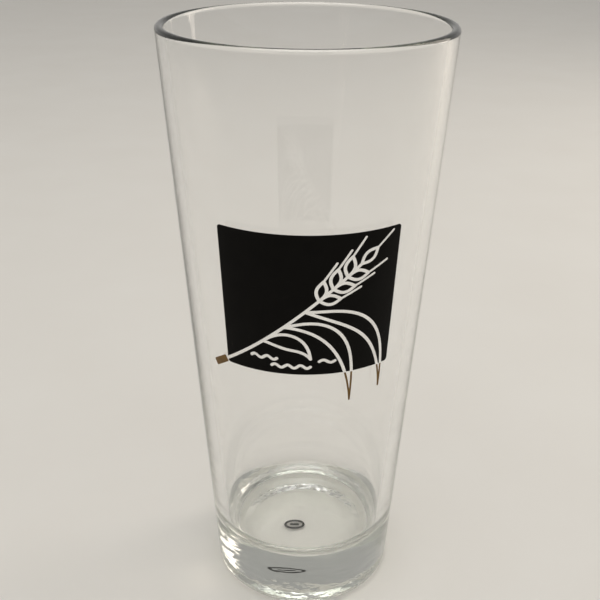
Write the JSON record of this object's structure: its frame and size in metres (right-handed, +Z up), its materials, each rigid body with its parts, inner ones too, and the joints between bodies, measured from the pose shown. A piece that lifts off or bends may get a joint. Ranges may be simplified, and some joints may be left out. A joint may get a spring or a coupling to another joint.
{
  "type": "pint glass",
  "caption": "Tall straight-sided conical pint glass with a thick base and a black and bronze printed panel of a barley ear on its front.",
  "frame": {"origin": "middle of the foot, on the surface that the glass stands on", "axes": "+Z up along the glass's axis, -Y towards the middle of the printed panel, +X to the right as the print is seen from outside"},
  "size_m": [0.0838, 0.0838, 0.186],
  "materials": {
    "clear_glass": "clear soda-lime glass, fire-polished, very faintly green",
    "black_enamel": "glossy black vitreous enamel, screen printed and fired on",
    "bronze_lustre": "dark bronze lustre enamel, satin",
    "base_mark_enamel": "black enamel mark under the base"
  },
  "bodies": {
    "root": {"glass_body": "clear_glass", "panel_above_stem": "black_enamel", "panel_below_stem": "black_enamel", "panel_between_leaves": "black_enamel", "short_leaf": "black_enamel", "middle_leaf": "black_enamel", "outer_leaf": "black_enamel", "grain_tip": "black_enamel", "grain_upper_1": "black_enamel", "grain_lower_1": "black_enamel", "grain_upper_2": "black_enamel", "grain_lower_2": "black_enamel", "grain_upper_3": "black_enamel", "grain_lower_3": "black_enamel", "middle_leaf_tip": "bronze_lustre", "outer_leaf_tip": "bronze_lustre", "stem_stub": "bronze_lustre", "underside_ring": "base_mark_enamel", "underside_bar": "base_mark_enamel"}
  },
  "joints": []
}
